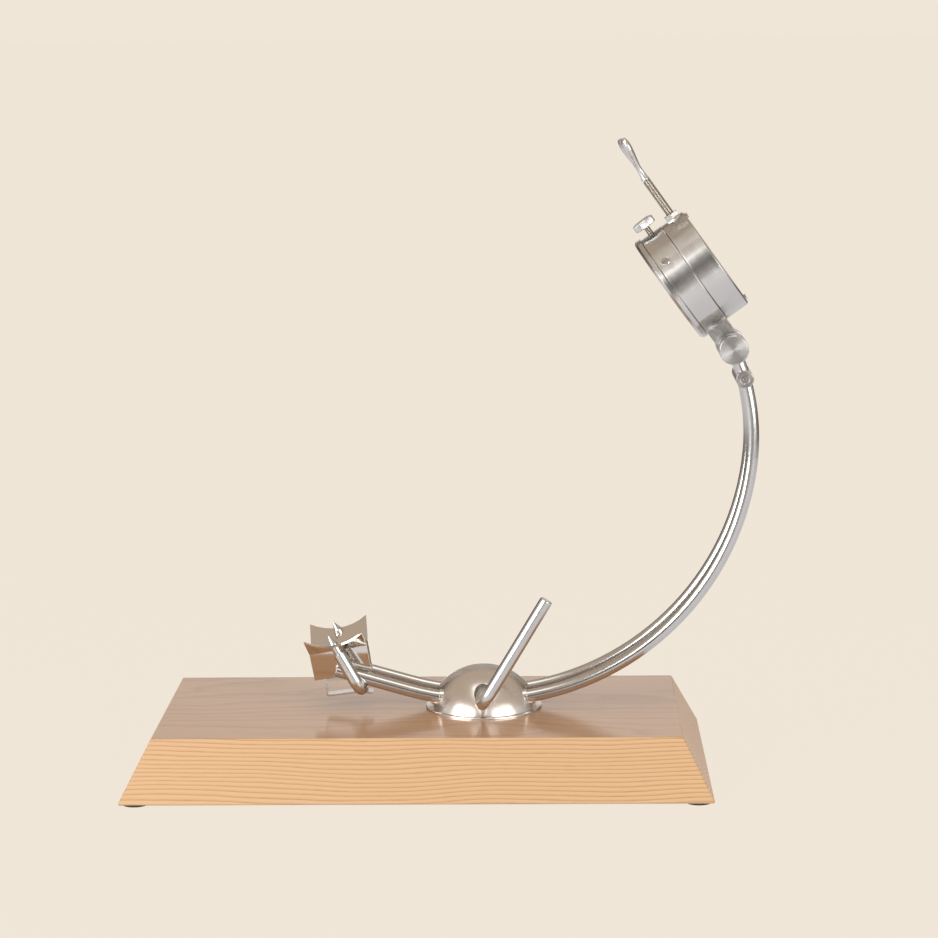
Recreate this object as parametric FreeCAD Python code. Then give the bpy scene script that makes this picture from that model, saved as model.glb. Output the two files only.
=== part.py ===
import FreeCAD, Part
import math
import os

# Ham holder stand: an ash board, a split dome clamp, a sliding gondola of two bent rods,
# a prong cradle for the butt end and a rotating, tilting ring head for the hoof end.
# Millimetres. +X runs from the cradle to the ring, +Y away from the clamp lever, +Z up.
# The origin is on the table, under the middle of the whole stand.

V = FreeCAD.Vector
ORIGIN = V(0, 0, 0)
AXIS_X = V(1, 0, 0)
AXIS_Y = V(0, 1, 0)
AXIS_Z = V(0, 0, 1)

# Board and feet
BASE_X = -23.885
BASE_LENGTH = 540
BASE_WIDTH = 300
BASE_THICKNESS = 54
BEVEL_X = 28
BEVEL_Y = 31
BASE_EDGE_RADIUS = 1.5
FOOT_HEIGHT = 2
FOOT_RADIUS = 12
FOOT_INSET = 15
BASE_TOP = FOOT_HEIGHT + BASE_THICKNESS

# Rods of the gondola: a straight tail, the sliding arc and a tighter arc up to the pivot
ROD_RADIUS = 6
ROD_Y = 18.4
ROD_END_CHAMFER = 1
CLAMP_X = BASE_X + 59
ARC_RADIUS = 252
ARC_Z = 318
ARC_START = -16
ARC_END = 85
NECK_RADIUS = 200
NECK_END = 115
BARREL_ANGLE = 106.4
TAIL_LENGTH = 72

# Dome clamp
FLANGE_RADIUS = 55
FLANGE_THICKNESS = 2
FLANGE_ROUND = 1
FLANGE_TOP = BASE_TOP + FLANGE_THICKNESS
DOME_RADIUS = 55.1
DOME_Z = BASE_TOP - 15.4
DOME_END = 46.5
SLOT_HALF = 12.6
ROD_CLEARANCE = 0.3
JAW_LIFT = 0.15
GROOVE_RELIEF = 0.8
SLEEVE = (24, 41.5, 7.4, 7.2)
LIP = (30, 48, 9.5, 7.6)
LIP_TOP = BASE_TOP + 13.5
BLOCK_LENGTH = 64
BLOCK_HALF_WIDTH = 12.1
BLOCK_TOP = BASE_TOP + 14
SCREW_AXIS_Z = 77.4
GUIDE_Z = 78
GUIDE_SPACING = 22
GUIDE_RADIUS = 2.5
GUIDE_HALF_LENGTH = 27
GUIDE_CLEARANCE = 0.1
GUIDE_END_GAP = 1
HOLD_SPACING = 18
HOLD_REAR_Y = 32
HOLD_RADIUS = 3
HOLD_TOP = BASE_TOP + 12
HOLD_HEAD_RADIUS = 5.5
HOLD_HEAD_HEIGHT = 6
HOLD_HEAD_Z = FOOT_HEIGHT + 8
COUNTERBORE_RADIUS = 7

# Lever
LEVER_SHOULDER_Y = -28
LEVER_ELBOW_Y = -90
LEVER_LENGTH = 116.7
LEVER_ANGLE = 58.9
LEVER_BEND = 14
LEVER_TIP_ROUND = 1.6
STUD_RADIUS = 4.9
STUD_END_Y = 28
STUD_CLEARANCE = 0.4
LEVER_CLEARANCE = 2

# Prong fork
BAR_X = BASE_X - 55.3
BAR_Z = 78.2
PRONG_Y = 30.5
PRONG_LEAN = 29.3
PRONG_ROD_LENGTH = 41.5
PRONG_PIN_LENGTH = 10.5
PRONG_LENGTH = 60.9
PRONG_PIN_RADIUS = 4
PRONG_TIP_RADIUS = 0.6
FORK_BEND = 12

# Cradle: a folded trough with flared, hollowed lips
CRADLE_X = BASE_X - 100.4
CRADLE_Z = 83.2
CRADLE_TILT = 9.5
CRADLE_LENGTH = 54.7
CRADLE_FOLD = 26
CRADLE_FLOOR_HALF = 9
CRADLE_FOLD_HALF = 12.2
CRADLE_LIP_HALF = 38
CRADLE_LIP_LOW = 35
CRADLE_LIP_ARC = 49
CRADLE_SHEET = 2
CRADLE_SECTIONS = 9

# Spring clip round the fork's cross bar: corners from the bar's axis, +X and +Z, from the upper leg's end
CLIP_CORNERS = [(5, 7), (-36, 5.2), (-33.7, -10.3), (-2.1, -6.25), (9.8, -8)]
CLIP_HALF_WIDTH = 7
CLIP_SHEET = 1.5
CLIP_BEND = 2.2

# Cross barrel near the top of the rods
BARREL_RADIUS = 8.2
BARREL_HALF_LENGTH = 29.5
GRUB_RADIUS = 3.5
GRUB_LENGTH = 4
GRUB_RECESS = 1
GRUB_HEX = 3
GRUB_SOCKET_DEPTH = 2.4
GRUB_LEAD_IN = 1

# Pivot between the rods and the head
EYE_RADIUS = 13.7
EYE_INNER_Y = 12.3
EYE_OUTER_Y = 23.5
BOLT_RADIUS = 5
BOLT_CLEARANCE = 0.08
BOLT_END_RADIUS = 4
BOLT_END_Y = 34
WASHER_RADIUS = 12
WASHER_THICKNESS = 1
KNOB_RADIUS = 13.5
KNOB_LENGTH = 14
KNOB_GAP = 0.3
KNOB_CHAMFER = 0.7
NUT_FLATS = 16
NUT_LENGTH = 8
NUT_FACE = 0.95

# Ring head, in its own frame: +X along the ring's axis, +Z towards the clamp screw
HEAD_TILT = 35.6
HEAD_REACH = 75.9
BORE_RADIUS = 43
SLEEVE_RADIUS = 47
RUN_CLEARANCE = 0.08
STATOR_RADIUS = 53
STATOR_HALF = 11.5
ROTOR_RADIUS = 52.5
ROTOR_LENGTH = 24
ROTOR_CHAMFER = 1.5
COLLAR_RADIUS = 54.5
COLLAR_LENGTH = 6.5
COLLAR_CHAMFER = 2.5
RING_GAP = 0.3
RING_EDGE = 0.5
BRACKET_HALF = 11

# Hoof clamp screw on the rotor
CLAMP_SCREW_X = 25
CLAMP_SCREW_RADIUS = 3.95
CLAMP_THREAD_CLEARANCE = 0.15
CLAMP_NUT_FLATS = 13
CLAMP_NUT_TOP = 57
CLAMP_NUT_TURN = 30
PAD_RADIUS = 8
PAD_HEIGHT = 6
PAD_TOP = 36
PAD_SOCKET = 2.8
PAD_ROUND = 1.5
THREAD_TOP = 95
NECK_TOP = 109
NECK_TOP_RADIUS = 2.8
WING_TOP = 133.5
WING_SPREAD = 8.5
WING_ROOT = 2.5
WING_RADIUS = 6.5
WING_THICKNESS = 6
WING_LEAN = 4.5
WING_TWIST = 8

# Lock screw and index plunger on the stator
LOCK_RADIUS = 2.95
LOCK_HOLE_RADIUS = 3.05
LOCK_TIP_RADIUS = 2.5
LOCK_TIP_TOP = 49.5
LOCK_HEAD_BASE = 60
LOCK_HEAD_HEIGHT = 7
LOCK_HEAD_RADIUS = 10.5
LOCK_HEAD_CHAMFER = 0.8
PLUNGER_ANGLE = 58
PLUNGER_X = -3.3
PLUNGER_RADIUS = 4
PLUNGER_BASE = 47.6
PLUNGER_TOP = 53.4
PLUNGER_BORE_RADIUS = 2.6
PLUNGER_BORE_TOP = 52.4
PLUNGER_SLOT_WIDTH = 1.1
PLUNGER_SLOT_DEPTH = 0.7
BALL_RADIUS = 2.5
BALL_CENTRE = 48.6
DIMPLE_RADIUS = 2.9
DIMPLE_COUNT = 12
RIM_SCREW_COUNT = 2
RIM_SCREW_RADIUS = 1.4
RIM_SCREW_LENGTH = 8
RIM_HEAD_RADIUS = 2.5
RIM_HEAD_HEIGHT = 1.8
RIM_SCREW_CIRCLE = 47.6
RIM_SCREW_START = 8

OVERSIZE = 400
NEAR = 1
OVERLAP = 1


def join(pieces):
    """Fuse solids into one clean solid."""
    fused = pieces[0].fuse(pieces[1:]).removeSplitter()
    if len(fused.Solids) != 1:
        raise ValueError("pieces do not meet")
    return fused.Solids[0]


def cut(solid, *tools):
    """Take tools away from a solid and return one solid."""
    rest = solid.cut(list(tools))
    return max(rest.Solids, key=lambda piece: piece.Volume)


def group(pieces):
    return Part.makeCompound(pieces)


def cylinder(radius, start, end):
    """Cylinder from one point to another."""
    run = end - start
    return Part.makeCylinder(radius, run.Length, start, run)


def cone(start_radius, end_radius, start, end):
    """Cone from one point to another."""
    run = end - start
    return Part.makeCone(start_radius, end_radius, run.Length, start, run)


def box(low, high):
    """Box between two opposite corners."""
    size = high - low
    return Part.makeBox(size.x, size.y, size.z, low)


def disc_face(centre, normal, radius):
    return Part.Face(Part.Wire(Part.Circle(centre, normal, radius).toShape()))


def polygon_face(points):
    return Part.Face(Part.makePolygon(points + [points[0]]))


def hexagon(across_flats, start, run, turn=0):
    """Hexagonal prism from a start point along a run, turned about it by some degrees."""
    prism_radius = across_flats / math.sqrt(3)
    corners = []
    for index in range(6):
        angle = math.radians(60 * index + turn)
        corners.append(V(prism_radius * math.cos(angle), prism_radius * math.sin(angle), 0))
    prism = polygon_face(corners).extrude(V(0, 0, run.Length))
    prism.Placement = FreeCAD.Placement(start, FreeCAD.Rotation(AXIS_Z, run))
    return prism


def nut_blank(across_flats, start, run, turn=0):
    """Hexagonal prism whose far corners are eased by a 30 degree cone."""
    face_radius = across_flats / 2 * NUT_FACE
    spread = run.Length * math.sqrt(3)
    easing = cone(face_radius + spread, face_radius, start, start + run)
    return hexagon(across_flats, start, run, turn).common(easing)


def edges_near(solid, point, reach):
    """Circular edges whose centre lies within reach of a point."""
    found = []
    for edge in solid.Edges:
        if hasattr(edge.Curve, "Center") and (edge.Curve.Center - point).Length < reach:
            found.append(edge)
    return found


def bent_stock(corners, bend_radius, section):
    """Bar or strip through corner points, with a true arc at each inner corner."""
    pieces = []
    start = corners[0]
    for previous, corner, following in zip(corners, corners[1:], corners[2:]):
        arriving = (corner - previous).normalize()
        leaving = (following - corner).normalize()
        turn = arriving.getAngle(leaving)
        setback = bend_radius * math.tan(turn / 2)
        bend_start = corner - arriving * setback
        axis = arriving.cross(leaving).normalize()
        centre = bend_start + axis.cross(arriving) * bend_radius
        pieces.append(section(start, arriving).extrude(bend_start - start))
        pieces.append(section(bend_start, arriving).revolve(centre, axis, math.degrees(turn)))
        start = corner + leaving * setback
    pieces.append(section(start, leaving).extrude(corners[-1] - start))
    return join(pieces)


def rod_section(point, direction):
    return disc_face(point, direction, ROD_RADIUS)


def on_circle(centre, radius, angle):
    """Point on an upright circle; angle in degrees from its lowest point towards +X."""
    turn = math.radians(angle)
    return centre + V(radius * math.sin(turn), 0, -radius * math.cos(turn))


def along_circle(angle):
    """Unit tangent at an angle of an upright circle, pointing to larger angles."""
    turn = math.radians(angle)
    return V(math.cos(turn), 0, math.sin(turn))


def arc_bar(centre, radius, start_angle, end_angle, bar_radius):
    """Round bar along an upright circle."""
    start = on_circle(centre, radius, start_angle)
    section = disc_face(start, along_circle(start_angle), bar_radius)
    return section.revolve(centre, -AXIS_Y, end_angle - start_angle)


ARC_CENTRE = V(CLAMP_X, 0, ARC_Z)
NECK_CENTRE = on_circle(ARC_CENTRE, ARC_RADIUS - NECK_RADIUS, ARC_END)
PIVOT = on_circle(NECK_CENTRE, NECK_RADIUS, NECK_END)
BARREL = on_circle(NECK_CENTRE, NECK_RADIUS, BARREL_ANGLE)
HEAD_CENTRE = on_circle(PIVOT, HEAD_REACH, 180 + HEAD_TILT)


def at_y(point, y):
    return V(point.x, y, point.z)


def at_z(point, z):
    return V(point.x, point.y, z)


# Board

def wooden_base():
    """Board with sloping sides, eased edges and counterbored holes from below."""
    def outline(half_x, half_y, z):
        corners = [V(BASE_X - half_x, -half_y, z), V(BASE_X + half_x, -half_y, z),
                   V(BASE_X + half_x, half_y, z), V(BASE_X - half_x, half_y, z)]
        return Part.makePolygon(corners + [corners[0]])

    lower = outline(BASE_LENGTH / 2, BASE_WIDTH / 2, FOOT_HEIGHT)
    upper = outline(BASE_LENGTH / 2 - BEVEL_X, BASE_WIDTH / 2 - BEVEL_Y, BASE_TOP)
    board = Part.makeLoft([lower, upper], True, True)
    board = board.makeFillet(BASE_EDGE_RADIUS, board.Edges)
    holes = []
    for spot in hold_spots():
        holes.append(cylinder(HOLD_RADIUS, spot, at_z(spot, BASE_TOP)))
        holes.append(cylinder(COUNTERBORE_RADIUS, spot, at_z(spot, HOLD_HEAD_Z + HOLD_HEAD_HEIGHT)))
    return cut(board, *holes)


def rubber_feet():
    feet = []
    for side_x in (-1, 1):
        for side_y in (-1, 1):
            x = BASE_X + side_x * (BASE_LENGTH / 2 - FOOT_INSET)
            y = side_y * (BASE_WIDTH / 2 - FOOT_INSET)
            feet.append(cylinder(FOOT_RADIUS, V(x, y, 0), V(x, y, FOOT_HEIGHT)))
    return group(feet)


def hold_spots():
    """Places of the four screws that hold the clamp down."""
    spots = []
    for side in (-1, 1):
        for y in (0, HOLD_REAR_Y):
            spots.append(V(CLAMP_X + side * HOLD_SPACING, y, 0))
    return spots


def hold_screws():
    screws = []
    for spot in hold_spots():
        shank = cylinder(HOLD_RADIUS, at_z(spot, HOLD_HEAD_Z), at_z(spot, HOLD_TOP))
        head_top = HOLD_HEAD_Z + HOLD_HEAD_HEIGHT
        head = cylinder(HOLD_HEAD_RADIUS, at_z(spot, HOLD_HEAD_Z), at_z(spot, head_top))
        screws.append(join([shank, head]))
    return group(screws)


# Dome clamp

def hold_holes():
    return [cylinder(HOLD_RADIUS, at_z(spot, 0), at_z(spot, HOLD_TOP)) for spot in hold_spots()]


def clamp_flange():
    disc = cylinder(FLANGE_RADIUS, V(CLAMP_X, 0, BASE_TOP), V(CLAMP_X, 0, FLANGE_TOP))
    rim = edges_near(disc, V(CLAMP_X, 0, FLANGE_TOP), NEAR)
    return cut(disc.makeFillet(FLANGE_ROUND, rim), *hold_holes())


def centre_block():
    half = BLOCK_LENGTH / 2
    low = V(CLAMP_X - half, -BLOCK_HALF_WIDTH, FLANGE_TOP)
    high = V(CLAMP_X + half, BLOCK_HALF_WIDTH, BLOCK_TOP)
    return cut(box(low, high), *hold_holes())


def rod_cone(side, end, start, stop, radius_in, radius_out):
    """Cone round the rod between two distances from the middle of the clamp."""
    angle_in = end * math.degrees(math.asin(start / ARC_RADIUS))
    angle_out = end * math.degrees(math.asin(stop / ARC_RADIUS))
    rod_centre = at_y(ARC_CENTRE, side * ROD_Y)
    place_in = on_circle(rod_centre, ARC_RADIUS, angle_in)
    place_out = on_circle(rod_centre, ARC_RADIUS, angle_out)
    return cone(radius_in, radius_out, place_in, place_out)


def jaw_blank(side, floor_z):
    """Half of the flat-ended dome on one side of the slot, with a sleeve and a lower lip round each rod."""
    near = SLOT_HALF if side > 0 else -OVERSIZE
    far = OVERSIZE if side > 0 else -SLOT_HALF
    above_floor = box(V(CLAMP_X - OVERSIZE, near, floor_z), V(CLAMP_X + OVERSIZE, far, OVERSIZE))
    below_rod = box(V(CLAMP_X - OVERSIZE, near, floor_z), V(CLAMP_X + OVERSIZE, far, LIP_TOP))
    between_ends = box(V(CLAMP_X - DOME_END, near, floor_z), V(CLAMP_X + DOME_END, far, OVERSIZE))
    dome = Part.makeSphere(DOME_RADIUS, V(CLAMP_X, 0, DOME_Z)).common(between_ends)
    bosses = []
    for end in (-1, 1):
        bosses.append(rod_cone(side, end, *SLEEVE).common(above_floor))
        bosses.append(rod_cone(side, end, *LIP).common(below_rod))
    blank = dome.fuse(bosses).Solids[0]
    grooves = []
    for y in (ROD_Y, ROD_Y - GROOVE_RELIEF):
        rod_centre = at_y(ARC_CENTRE, side * y)
        grooves.append(arc_bar(rod_centre, ARC_RADIUS, ARC_START, -ARC_START, ROD_RADIUS + ROD_CLEARANCE))
    return cut(blank, *grooves)


def guide_spots():
    return [V(CLAMP_X + side * GUIDE_SPACING, 0, GUIDE_Z) for side in (-1, 1)]


def guide_pins():
    pins = []
    for spot in guide_spots():
        pins.append(cylinder(GUIDE_RADIUS, at_y(spot, -GUIDE_HALF_LENGTH), at_y(spot, GUIDE_HALF_LENGTH)))
    return group(pins)


def rear_jaw():
    """Fixed half, drilled for the lever's stud and holding the guide pins."""
    axis_point = V(CLAMP_X, 0, SCREW_AXIS_Z)
    stud_end = at_y(axis_point, STUD_END_Y + STUD_CLEARANCE)
    tools = hold_holes()
    tools.append(cylinder(STUD_RADIUS + STUD_CLEARANCE, axis_point, stud_end))
    for spot in guide_spots():
        tools.append(cylinder(GUIDE_RADIUS, spot, at_y(spot, GUIDE_HALF_LENGTH)))
    return cut(jaw_blank(1, FLANGE_TOP), *tools)


def front_jaw():
    """Sliding half, counterbored for the lever and running on the guide pins."""
    axis_point = V(CLAMP_X, 0, SCREW_AXIS_Z)
    shoulder = at_y(axis_point, LEVER_SHOULDER_Y)
    outside = at_y(axis_point, -OVERSIZE)
    tools = [cylinder(STUD_RADIUS + STUD_CLEARANCE, axis_point, outside),
             cylinder(ROD_RADIUS + LEVER_CLEARANCE, shoulder, outside)]
    for spot in guide_spots():
        hole_end = at_y(spot, -GUIDE_HALF_LENGTH - GUIDE_END_GAP)
        tools.append(cylinder(GUIDE_RADIUS + GUIDE_CLEARANCE, spot, hole_end))
    return cut(jaw_blank(-1, FLANGE_TOP + JAW_LIFT), *tools)


def lever_rod():
    """Cranked handle: out of the dome along -Y, then up and to the right."""
    elbow = V(CLAMP_X, LEVER_ELBOW_Y, SCREW_AXIS_Z)
    lean = math.radians(LEVER_ANGLE)
    tip = elbow + V(math.cos(lean), 0, math.sin(lean)) * LEVER_LENGTH
    rod = bent_stock([at_y(elbow, LEVER_SHOULDER_Y), elbow, tip], LEVER_BEND, rod_section)
    return rod.makeFillet(LEVER_TIP_ROUND, edges_near(rod, tip, NEAR))


def lever_stud():
    shoulder = V(CLAMP_X, LEVER_SHOULDER_Y, SCREW_AXIS_Z)
    return cylinder(STUD_RADIUS, shoulder, at_y(shoulder, STUD_END_Y))


# Gondola

def whole_rod(y):
    """One rod, uncut: tail, sliding arc and neck."""
    centre = at_y(ARC_CENTRE, y)
    tail_start = on_circle(centre, ARC_RADIUS, ARC_START)
    tail_end = tail_start - along_circle(ARC_START) * TAIL_LENGTH
    tail = cylinder(ROD_RADIUS, tail_start, tail_end)
    slide = arc_bar(centre, ARC_RADIUS, ARC_START, ARC_END, ROD_RADIUS)
    neck = arc_bar(at_y(NECK_CENTRE, y), NECK_RADIUS, ARC_END, NECK_END, ROD_RADIUS)
    rod = join([tail, slide, neck])
    return rod.makeChamfer(ROD_END_CHAMFER, edges_near(rod, tail_end, NEAR))


def arc_rod(y):
    """Rod trimmed to its eye and seated on the fork's bar."""
    eye = cylinder(EYE_RADIUS, at_y(PIVOT, -OVERSIZE), at_y(PIVOT, OVERSIZE))
    return cut(whole_rod(y), eye, spike_fork())


def spike_fork():
    """U of round bar whose two prongs end in pointed pins."""
    lean = math.radians(PRONG_LEAN)
    up = V(-math.sin(lean), 0, math.cos(lean))
    foot = V(BAR_X, 0, BAR_Z)
    front = at_y(foot, -PRONG_Y)
    rear = at_y(foot, PRONG_Y)
    corners = [front + up * PRONG_ROD_LENGTH, front, rear, rear + up * PRONG_ROD_LENGTH]
    pieces = [bent_stock(corners, FORK_BEND, rod_section)]
    for prong_foot in (front, rear):
        shoulder = prong_foot + up * PRONG_ROD_LENGTH
        cone_start = shoulder + up * PRONG_PIN_LENGTH
        tip = prong_foot + up * PRONG_LENGTH
        pieces.append(cylinder(PRONG_PIN_RADIUS, shoulder, cone_start))
        pieces.append(cone(PRONG_PIN_RADIUS, PRONG_TIP_RADIUS, cone_start, tip))
    return join(pieces)


def offset_chain(chain, distance):
    """Offset of an open (y, z) chain to its left, with mitred corners."""
    normals = []
    for start, end in zip(chain, chain[1:]):
        run = (end - start).normalize()
        normals.append(V(0, -run.z, run.y))
    moved = [chain[0] + normals[0] * distance]
    for index in range(1, len(chain) - 1):
        middle = (normals[index - 1] + normals[index]).normalize()
        moved.append(chain[index] + middle * (distance / middle.dot(normals[index])))
    moved.append(chain[-1] + normals[-1] * distance)
    return moved


def cradle_section(along):
    """Closed outline of the trough at a distance along its length."""
    from_middle = along - CRADLE_LENGTH / 2
    lip_z = CRADLE_LIP_LOW + CRADLE_LIP_ARC - math.sqrt(CRADLE_LIP_ARC ** 2 - from_middle ** 2)
    half = [V(0, CRADLE_FLOOR_HALF, 0), V(0, CRADLE_FOLD_HALF, CRADLE_FOLD), V(0, CRADLE_LIP_HALF, lip_z)]
    outer = [at_y(point, -point.y) for point in reversed(half)] + half
    inner = offset_chain(outer, CRADLE_SHEET)
    outline = outer + inner[::-1]
    points = [point + V(along, 0, 0) for point in outline]
    return Part.makePolygon(points + [points[0]])


def cradle_trough():
    """Folded sheet trough whose flared lips dip in an arc."""
    step = CRADLE_LENGTH / (CRADLE_SECTIONS - 1)
    sections = [cradle_section(step * index) for index in range(CRADLE_SECTIONS)]
    trough = Part.makeLoft(sections, True, True)
    trough.rotate(ORIGIN, AXIS_Y, -CRADLE_TILT)
    trough.translate(V(CRADLE_X, 0, CRADLE_Z))
    return cut(trough, spike_fork())


def strip_section(point, direction):
    """Cross-section of the clip's strip, wide along Y."""
    thick = direction.cross(AXIS_Y).normalize() * (CLIP_SHEET / 2)
    wide = AXIS_Y * CLIP_HALF_WIDTH
    corners = [thick + wide, thick - wide, -thick - wide, wide - thick]
    return polygon_face([point + corner for corner in corners])


def cradle_clip():
    """Flat strip bent into a U that grips the fork's bar and ends in a flared tab."""
    corners = [V(BAR_X + x, 0, BAR_Z + z) for x, z in CLIP_CORNERS]
    return cut(bent_stock(corners, CLIP_BEND, strip_section), spike_fork())


def cross_barrel():
    """Cylinder through which both rods pass, with a threaded hole in each end."""
    front = at_y(BARREL, -BARREL_HALF_LENGTH)
    rear = at_y(BARREL, BARREL_HALF_LENGTH)
    barrel = cylinder(BARREL_RADIUS, front, rear)
    barrel = barrel.makeChamfer(RING_EDGE, edges_near(barrel, front, NEAR) + edges_near(barrel, rear, NEAR))
    depth = BARREL_HALF_LENGTH - GRUB_RECESS - GRUB_LENGTH
    holes = []
    for side in (-1, 1):
        mouth = at_y(BARREL, side * BARREL_HALF_LENGTH)
        lead_in = at_y(BARREL, side * (BARREL_HALF_LENGTH - GRUB_LEAD_IN))
        holes.append(cylinder(GRUB_RADIUS, at_y(BARREL, side * depth), mouth))
        holes.append(cone(GRUB_RADIUS, GRUB_RADIUS + GRUB_LEAD_IN, lead_in, mouth))
    return cut(barrel, whole_rod(-ROD_Y), whole_rod(ROD_Y), *holes)


def barrel_grub_screws():
    """Hexagon socket screws that bear on the rods."""
    screws = []
    depth = BARREL_HALF_LENGTH - GRUB_RECESS - GRUB_LENGTH
    for side in (-1, 1):
        inner = at_y(BARREL, side * depth)
        outer = at_y(BARREL, side * (depth + GRUB_LENGTH))
        socket = hexagon(GRUB_HEX, outer, AXIS_Y * (-side * GRUB_SOCKET_DEPTH))
        screws.append(cut(cylinder(GRUB_RADIUS, inner, outer), socket))
    return group(screws)


# Pivot

def pivot_eye(side):
    """Disc at the top of a rod, bored for the pivot bolt."""
    eye = cylinder(EYE_RADIUS, at_y(PIVOT, side * EYE_INNER_Y), at_y(PIVOT, side * EYE_OUTER_Y))
    eye = eye.makeChamfer(RING_EDGE, edges_near(eye, at_y(PIVOT, side * EYE_OUTER_Y), NEAR))
    return cut(eye, cylinder(BOLT_RADIUS, at_y(PIVOT, -OVERSIZE), at_y(PIVOT, OVERSIZE)))


def pivot_bolt():
    """Plain shank through both eyes with a smaller thread at each end."""
    shank = cylinder(BOLT_RADIUS, at_y(PIVOT, -EYE_OUTER_Y), at_y(PIVOT, EYE_OUTER_Y))
    thread = cylinder(BOLT_END_RADIUS, at_y(PIVOT, -BOLT_END_Y), at_y(PIVOT, BOLT_END_Y))
    return join([shank, thread])


def pivot_nut():
    start = at_y(PIVOT, EYE_OUTER_Y)
    nut = nut_blank(NUT_FLATS, start, AXIS_Y * NUT_LENGTH)
    return cut(nut, cylinder(BOLT_END_RADIUS, start, at_y(PIVOT, OVERSIZE)))


def friction_washers():
    washers = []
    for side in (-1, 1):
        outer = at_y(PIVOT, side * EYE_INNER_Y)
        inner = at_y(PIVOT, side * (EYE_INNER_Y - WASHER_THICKNESS))
        washers.append(cut(cylinder(WASHER_RADIUS, inner, outer), cylinder(BOLT_RADIUS, inner, outer)))
    return group(washers)


def tilt_knob():
    """Round turned knob screwed on the front end of the pivot bolt."""
    back = at_y(PIVOT, -EYE_OUTER_Y - KNOB_GAP)
    face = back - AXIS_Y * KNOB_LENGTH
    knob = cylinder(KNOB_RADIUS, back, face)
    knob = knob.makeChamfer(KNOB_CHAMFER, edges_near(knob, back, NEAR) + edges_near(knob, face, NEAR))
    bore_end = at_y(PIVOT, -BOLT_END_Y - KNOB_GAP)
    return cut(knob, cylinder(BOLT_END_RADIUS + BOLT_CLEARANCE, at_y(PIVOT, 0), bore_end))


# Ring head, modelled in its own frame

def tube(outer, inner, start_x, end_x, end_chamfer):
    """Tube along X with an eased outer edge at its start and a chosen chamfer at its end."""
    start = V(start_x, 0, 0)
    end = V(end_x, 0, 0)
    body = cylinder(outer, start, end)
    body = body.makeChamfer(RING_EDGE, edges_near(body, start, NEAR))
    body = body.makeChamfer(end_chamfer, edges_near(body, end, NEAR))
    return cut(body, cylinder(inner, start, end))


def radial(angle, x, radius):
    """Point at an angle from +Z towards -Y, at a radius from the ring's axis."""
    turn = math.radians(angle)
    return V(x, -radius * math.sin(turn), radius * math.cos(turn))


def ring_stator():
    """Fixed middle ring, drilled for the lock screw and the index plunger."""
    ring = tube(STATOR_RADIUS, SLEEVE_RADIUS + RUN_CLEARANCE, -STATOR_HALF, STATOR_HALF, RING_EDGE)
    lock_hole = cylinder(LOCK_HOLE_RADIUS, V(0, 0, BORE_RADIUS), V(0, 0, OVERSIZE))
    plunger_hole = cylinder(PLUNGER_RADIUS, radial(PLUNGER_ANGLE, PLUNGER_X, BORE_RADIUS),
                            radial(PLUNGER_ANGLE, PLUNGER_X, OVERSIZE))
    return cut(ring, lock_hole, plunger_hole)


def head_bracket():
    """Block from the stator down to the pivot, rounded at the bolt."""
    pivot = V(0, 0, -HEAD_REACH)
    block = box(V(-BRACKET_HALF, -BRACKET_HALF, -HEAD_REACH), V(BRACKET_HALF, BRACKET_HALF, 0))
    end = cylinder(BRACKET_HALF, at_y(pivot, -BRACKET_HALF), at_y(pivot, BRACKET_HALF))
    ring_space = cylinder(STATOR_RADIUS, V(-OVERSIZE, 0, 0), V(OVERSIZE, 0, 0))
    bolt_hole = cylinder(BOLT_RADIUS + BOLT_CLEARANCE, at_y(pivot, -OVERSIZE), at_y(pivot, OVERSIZE))
    return cut(join([block, end]), ring_space, bolt_hole)


def index_plunger():
    """Slotted screw body with a blind bore for its ball."""
    base = radial(PLUNGER_ANGLE, PLUNGER_X, PLUNGER_BASE)
    top = radial(PLUNGER_ANGLE, PLUNGER_X, PLUNGER_TOP)
    body = cylinder(PLUNGER_RADIUS, base, top)
    body = body.makeChamfer(RING_EDGE, edges_near(body, top, NEAR))
    bore = cylinder(PLUNGER_BORE_RADIUS, base, radial(PLUNGER_ANGLE, PLUNGER_X, PLUNGER_BORE_TOP))
    slot = box(V(-PLUNGER_RADIUS, -PLUNGER_SLOT_WIDTH / 2, PLUNGER_TOP - PLUNGER_SLOT_DEPTH),
               V(PLUNGER_RADIUS, PLUNGER_SLOT_WIDTH / 2, PLUNGER_TOP + OVERLAP))
    slot.rotate(ORIGIN, AXIS_X, PLUNGER_ANGLE)
    slot.translate(V(PLUNGER_X, 0, 0))
    return cut(body, bore, slot)


def index_ball():
    return Part.makeSphere(BALL_RADIUS, radial(PLUNGER_ANGLE, PLUNGER_X, BALL_CENTRE))


def ring_rotor():
    """Turning ring: a thick end ring and the sleeve that runs inside the stator."""
    ring_start = STATOR_HALF + RING_GAP
    ring = tube(ROTOR_RADIUS, BORE_RADIUS, ring_start, ring_start + ROTOR_LENGTH, ROTOR_CHAMFER)
    sleeve_start = V(-STATOR_HALF - RING_GAP - COLLAR_LENGTH, 0, 0)
    sleeve = cylinder(SLEEVE_RADIUS, sleeve_start, V(ring_start + OVERLAP, 0, 0))
    sleeve = cut(sleeve, cylinder(BORE_RADIUS, sleeve_start, V(OVERSIZE, 0, 0)))
    tools = [clamp_screw_hole()] + rim_screw_shanks()
    for index in range(DIMPLE_COUNT):
        angle = PLUNGER_ANGLE + 360 / DIMPLE_COUNT * index
        tools.append(Part.makeSphere(DIMPLE_RADIUS, radial(angle, PLUNGER_X, BALL_CENTRE)))
    return cut(join([ring, sleeve]), *tools)


def clamp_screw_hole():
    centre = V(CLAMP_SCREW_X, 0, 0)
    return cylinder(CLAMP_SCREW_RADIUS + CLAMP_THREAD_CLEARANCE, centre, at_z(centre, OVERSIZE))


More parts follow.
